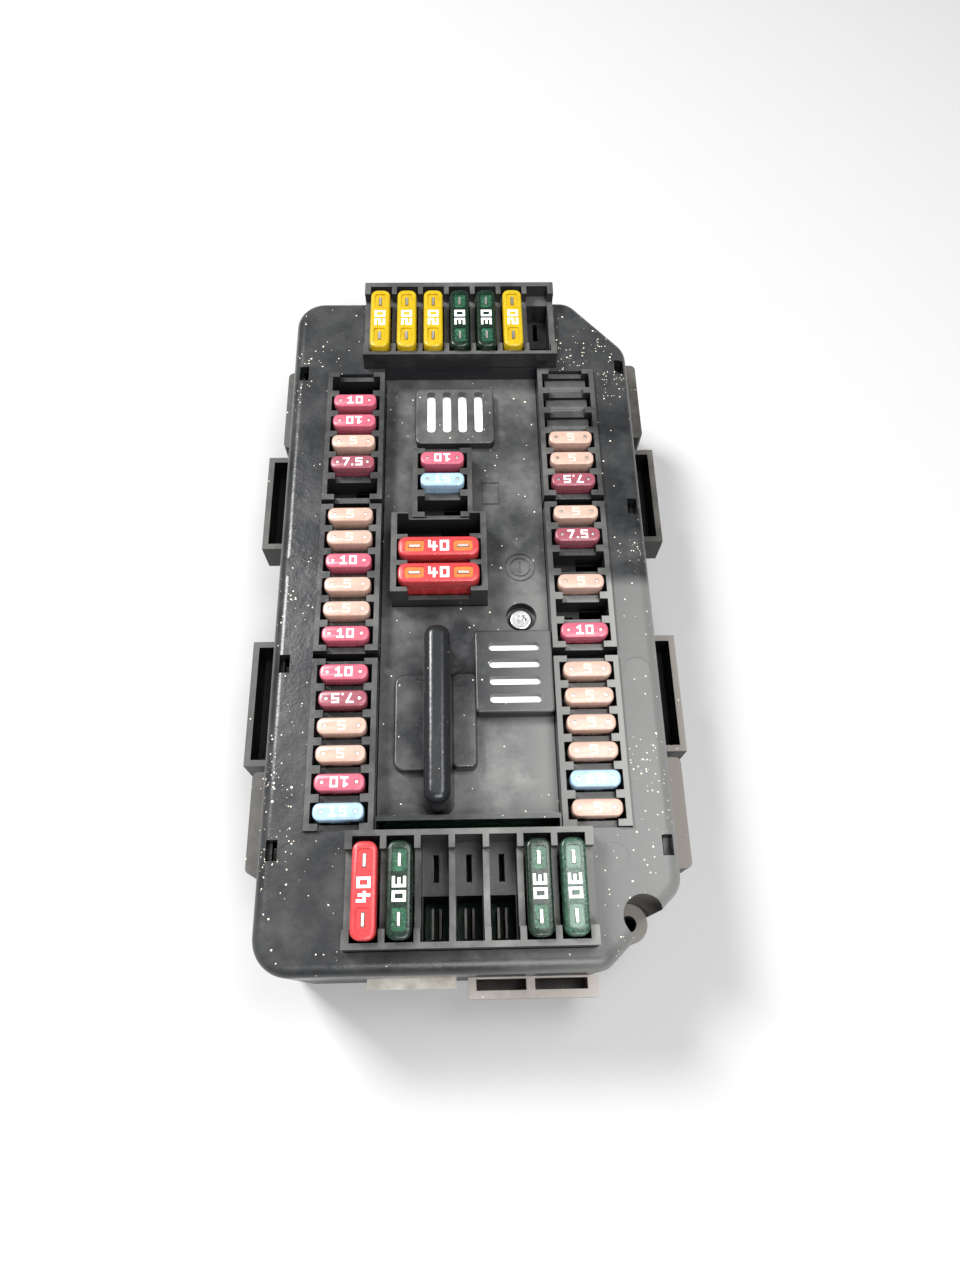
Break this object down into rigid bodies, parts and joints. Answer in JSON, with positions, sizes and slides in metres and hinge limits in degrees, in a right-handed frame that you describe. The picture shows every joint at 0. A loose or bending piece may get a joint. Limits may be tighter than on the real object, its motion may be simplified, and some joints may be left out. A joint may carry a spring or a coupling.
{
  "type": "fuse box panel",
  "caption": "Vehicle fuse box panel: a flat casing with racks of plug-in mini and blade fuses along its sides, middle and ends, each fuse pulling straight out.",
  "frame": {"origin": "middle of the casing's flat underside", "axes": "+Z out of the panel towards the fuse heads, +Y along the panel to its far end, +X to the right"},
  "size_m": [0.1046, 0.18, 0.0504],
  "materials": {
    "housing_plastic": "moulded, dusty",
    "rack_plastic": "moulded",
    "grey_plastic": "moulded",
    "board": "satin",
    "relay_case": "moulded",
    "white_sheet": "satin",
    "tinned_metal": "satin",
    "screw_steel": "blackened",
    "header_plastic": "moulded",
    "pin_brass": "satin",
    "fuse_5_tan": "translucent",
    "fuse_7_brown": "translucent",
    "fuse_10_red": "translucent",
    "fuse_15_blue": "translucent",
    "fuse_20_yellow": "translucent",
    "fuse_30_green": "translucent",
    "fuse_40_orange": "translucent"
  },
  "bodies": {
    "panel": {"board_relays": "relay_case", "bottom_blade_rack": "rack_plastic", "centre_blade_rack": "rack_plastic", "centre_mini_rack": "rack_plastic", "circuit_board": "board", "connector_headers": "header_plastic", "connector_pins": "pin_brass", "deck_screw": "screw_steel", "end_latch_frame": "grey_plastic", "fuse_terminals": "tinned_metal", "left_fuse_rack": "rack_plastic", "lower_housing": "housing_plastic", "right_fuse_rack": "rack_plastic", "supply_busbar": "tinned_metal", "top_blade_rack": "rack_plastic", "upper_housing": "housing_plastic", "vent_sheets": "white_sheet"},
    "bottom_blade_fuse_01_body": {"bottom_blade_fuse_01": "fuse_40_orange"},
    "bottom_blade_fuse_02_body": {"bottom_blade_fuse_02": "fuse_30_green"},
    "bottom_blade_fuse_06_body": {"bottom_blade_fuse_06": "fuse_30_green"},
    "bottom_blade_fuse_07_body": {"bottom_blade_fuse_07": "fuse_30_green"},
    "centre_blade_fuse_02_body": {"centre_blade_fuse_02": "fuse_40_orange"},
    "centre_blade_fuse_03_body": {"centre_blade_fuse_03": "fuse_40_orange"},
    "centre_fuse_01_body": {"centre_fuse_01": "fuse_10_red"},
    "centre_fuse_02_body": {"centre_fuse_02": "fuse_15_blue"},
    "left_fuse_02_body": {"left_fuse_02": "fuse_10_red"},
    "left_fuse_03_body": {"left_fuse_03": "fuse_10_red"},
    "left_fuse_04_body": {"left_fuse_04": "fuse_5_tan"},
    "left_fuse_05_body": {"left_fuse_05": "fuse_7_brown"},
    "left_fuse_07_body": {"left_fuse_07": "fuse_5_tan"},
    "left_fuse_08_body": {"left_fuse_08": "fuse_5_tan"},
    "left_fuse_09_body": {"left_fuse_09": "fuse_10_red"},
    "left_fuse_10_body": {"left_fuse_10": "fuse_5_tan"},
    "left_fuse_11_body": {"left_fuse_11": "fuse_5_tan"},
    "left_fuse_12_body": {"left_fuse_12": "fuse_10_red"},
    "left_fuse_13_body": {"left_fuse_13": "fuse_10_red"},
    "left_fuse_14_body": {"left_fuse_14": "fuse_7_brown"},
    "left_fuse_15_body": {"left_fuse_15": "fuse_5_tan"},
    "left_fuse_16_body": {"left_fuse_16": "fuse_5_tan"},
    "left_fuse_17_body": {"left_fuse_17": "fuse_10_red"},
    "left_fuse_18_body": {"left_fuse_18": "fuse_15_blue"},
    "right_fuse_04_body": {"right_fuse_04": "fuse_5_tan"},
    "right_fuse_05_body": {"right_fuse_05": "fuse_5_tan"},
    "right_fuse_06_body": {"right_fuse_06": "fuse_7_brown"},
    "right_fuse_07_body": {"right_fuse_07": "fuse_5_tan"},
    "right_fuse_08_body": {"right_fuse_08": "fuse_7_brown"},
    "right_fuse_10_body": {"right_fuse_10": "fuse_5_tan"},
    "right_fuse_12_body": {"right_fuse_12": "fuse_10_red"},
    "right_fuse_13_body": {"right_fuse_13": "fuse_5_tan"},
    "right_fuse_14_body": {"right_fuse_14": "fuse_5_tan"},
    "right_fuse_15_body": {"right_fuse_15": "fuse_5_tan"},
    "right_fuse_16_body": {"right_fuse_16": "fuse_5_tan"},
    "right_fuse_17_body": {"right_fuse_17": "fuse_15_blue"},
    "right_fuse_18_body": {"right_fuse_18": "fuse_5_tan"},
    "top_blade_fuse_01_body": {"top_blade_fuse_01": "fuse_20_yellow"},
    "top_blade_fuse_02_body": {"top_blade_fuse_02": "fuse_20_yellow"},
    "top_blade_fuse_03_body": {"top_blade_fuse_03": "fuse_20_yellow"},
    "top_blade_fuse_04_body": {"top_blade_fuse_04": "fuse_30_green"},
    "top_blade_fuse_05_body": {"top_blade_fuse_05": "fuse_30_green"},
    "top_blade_fuse_06_body": {"top_blade_fuse_06": "fuse_20_yellow"}
  },
  "joints": [
    {"name": "bottom_blade_fuse_01_pull", "type": "slide", "parent": "panel", "child": "bottom_blade_fuse_01_body", "axis": [0, 0, 1], "range_m": [0, 0.021]},
    {"name": "bottom_blade_fuse_02_pull", "type": "slide", "parent": "panel", "child": "bottom_blade_fuse_02_body", "axis": [0, 0, 1], "range_m": [0, 0.021]},
    {"name": "bottom_blade_fuse_06_pull", "type": "slide", "parent": "panel", "child": "bottom_blade_fuse_06_body", "axis": [0, 0, 1], "range_m": [0, 0.021]},
    {"name": "bottom_blade_fuse_07_pull", "type": "slide", "parent": "panel", "child": "bottom_blade_fuse_07_body", "axis": [0, 0, 1], "range_m": [0, 0.021]},
    {"name": "centre_blade_fuse_02_pull", "type": "slide", "parent": "panel", "child": "centre_blade_fuse_02_body", "axis": [0, 0, 1], "range_m": [0, 0.021]},
    {"name": "centre_blade_fuse_03_pull", "type": "slide", "parent": "panel", "child": "centre_blade_fuse_03_body", "axis": [0, 0, 1], "range_m": [0, 0.021]},
    {"name": "centre_fuse_01_pull", "type": "slide", "parent": "panel", "child": "centre_fuse_01_body", "axis": [0, 0, 1], "range_m": [0, 0.017]},
    {"name": "centre_fuse_02_pull", "type": "slide", "parent": "panel", "child": "centre_fuse_02_body", "axis": [0, 0, 1], "range_m": [0, 0.017]},
    {"name": "left_fuse_02_pull", "type": "slide", "parent": "panel", "child": "left_fuse_02_body", "axis": [0, 0, 1], "range_m": [0, 0.017]},
    {"name": "left_fuse_03_pull", "type": "slide", "parent": "panel", "child": "left_fuse_03_body", "axis": [0, 0, 1], "range_m": [0, 0.017]},
    {"name": "left_fuse_04_pull", "type": "slide", "parent": "panel", "child": "left_fuse_04_body", "axis": [0, 0, 1], "range_m": [0, 0.017]},
    {"name": "left_fuse_05_pull", "type": "slide", "parent": "panel", "child": "left_fuse_05_body", "axis": [0, 0, 1], "range_m": [0, 0.017]},
    {"name": "left_fuse_07_pull", "type": "slide", "parent": "panel", "child": "left_fuse_07_body", "axis": [0, 0, 1], "range_m": [0, 0.017]},
    {"name": "left_fuse_08_pull", "type": "slide", "parent": "panel", "child": "left_fuse_08_body", "axis": [0, 0, 1], "range_m": [0, 0.017]},
    {"name": "left_fuse_09_pull", "type": "slide", "parent": "panel", "child": "left_fuse_09_body", "axis": [0, 0, 1], "range_m": [0, 0.017]},
    {"name": "left_fuse_10_pull", "type": "slide", "parent": "panel", "child": "left_fuse_10_body", "axis": [0, 0, 1], "range_m": [0, 0.017]},
    {"name": "left_fuse_11_pull", "type": "slide", "parent": "panel", "child": "left_fuse_11_body", "axis": [0, 0, 1], "range_m": [0, 0.017]},
    {"name": "left_fuse_12_pull", "type": "slide", "parent": "panel", "child": "left_fuse_12_body", "axis": [0, 0, 1], "range_m": [0, 0.017]},
    {"name": "left_fuse_13_pull", "type": "slide", "parent": "panel", "child": "left_fuse_13_body", "axis": [0, 0, 1], "range_m": [0, 0.017]},
    {"name": "left_fuse_14_pull", "type": "slide", "parent": "panel", "child": "left_fuse_14_body", "axis": [0, 0, 1], "range_m": [0, 0.017]},
    {"name": "left_fuse_15_pull", "type": "slide", "parent": "panel", "child": "left_fuse_15_body", "axis": [0, 0, 1], "range_m": [0, 0.017]},
    {"name": "left_fuse_16_pull", "type": "slide", "parent": "panel", "child": "left_fuse_16_body", "axis": [0, 0, 1], "range_m": [0, 0.017]},
    {"name": "left_fuse_17_pull", "type": "slide", "parent": "panel", "child": "left_fuse_17_body", "axis": [0, 0, 1], "range_m": [0, 0.017]},
    {"name": "left_fuse_18_pull", "type": "slide", "parent": "panel", "child": "left_fuse_18_body", "axis": [0, 0, 1], "range_m": [0, 0.017]},
    {"name": "right_fuse_04_pull", "type": "slide", "parent": "panel", "child": "right_fuse_04_body", "axis": [0, 0, 1], "range_m": [0, 0.017]},
    {"name": "right_fuse_05_pull", "type": "slide", "parent": "panel", "child": "right_fuse_05_body", "axis": [0, 0, 1], "range_m": [0, 0.017]},
    {"name": "right_fuse_06_pull", "type": "slide", "parent": "panel", "child": "right_fuse_06_body", "axis": [0, 0, 1], "range_m": [0, 0.017]},
    {"name": "right_fuse_07_pull", "type": "slide", "parent": "panel", "child": "right_fuse_07_body", "axis": [0, 0, 1], "range_m": [0, 0.017]},
    {"name": "right_fuse_08_pull", "type": "slide", "parent": "panel", "child": "right_fuse_08_body", "axis": [0, 0, 1], "range_m": [0, 0.017]},
    {"name": "right_fuse_10_pull", "type": "slide", "parent": "panel", "child": "right_fuse_10_body", "axis": [0, 0, 1], "range_m": [0, 0.017]},
    {"name": "right_fuse_12_pull", "type": "slide", "parent": "panel", "child": "right_fuse_12_body", "axis": [0, 0, 1], "range_m": [0, 0.017]},
    {"name": "right_fuse_13_pull", "type": "slide", "parent": "panel", "child": "right_fuse_13_body", "axis": [0, 0, 1], "range_m": [0, 0.017]},
    {"name": "right_fuse_14_pull", "type": "slide", "parent": "panel", "child": "right_fuse_14_body", "axis": [0, 0, 1], "range_m": [0, 0.017]},
    {"name": "right_fuse_15_pull", "type": "slide", "parent": "panel", "child": "right_fuse_15_body", "axis": [0, 0, 1], "range_m": [0, 0.017]},
    {"name": "right_fuse_16_pull", "type": "slide", "parent": "panel", "child": "right_fuse_16_body", "axis": [0, 0, 1], "range_m": [0, 0.017]},
    {"name": "right_fuse_17_pull", "type": "slide", "parent": "panel", "child": "right_fuse_17_body", "axis": [0, 0, 1], "range_m": [0, 0.017]},
    {"name": "right_fuse_18_pull", "type": "slide", "parent": "panel", "child": "right_fuse_18_body", "axis": [0, 0, 1], "range_m": [0, 0.017]},
    {"name": "top_blade_fuse_01_pull", "type": "slide", "parent": "panel", "child": "top_blade_fuse_01_body", "axis": [0, 0, 1], "range_m": [0, 0.021]},
    {"name": "top_blade_fuse_02_pull", "type": "slide", "parent": "panel", "child": "top_blade_fuse_02_body", "axis": [0, 0, 1], "range_m": [0, 0.021]},
    {"name": "top_blade_fuse_03_pull", "type": "slide", "parent": "panel", "child": "top_blade_fuse_03_body", "axis": [0, 0, 1], "range_m": [0, 0.021]},
    {"name": "top_blade_fuse_04_pull", "type": "slide", "parent": "panel", "child": "top_blade_fuse_04_body", "axis": [0, 0, 1], "range_m": [0, 0.021]},
    {"name": "top_blade_fuse_05_pull", "type": "slide", "parent": "panel", "child": "top_blade_fuse_05_body", "axis": [0, 0, 1], "range_m": [0, 0.021]},
    {"name": "top_blade_fuse_06_pull", "type": "slide", "parent": "panel", "child": "top_blade_fuse_06_body", "axis": [0, 0, 1], "range_m": [0, 0.021]}
  ]
}
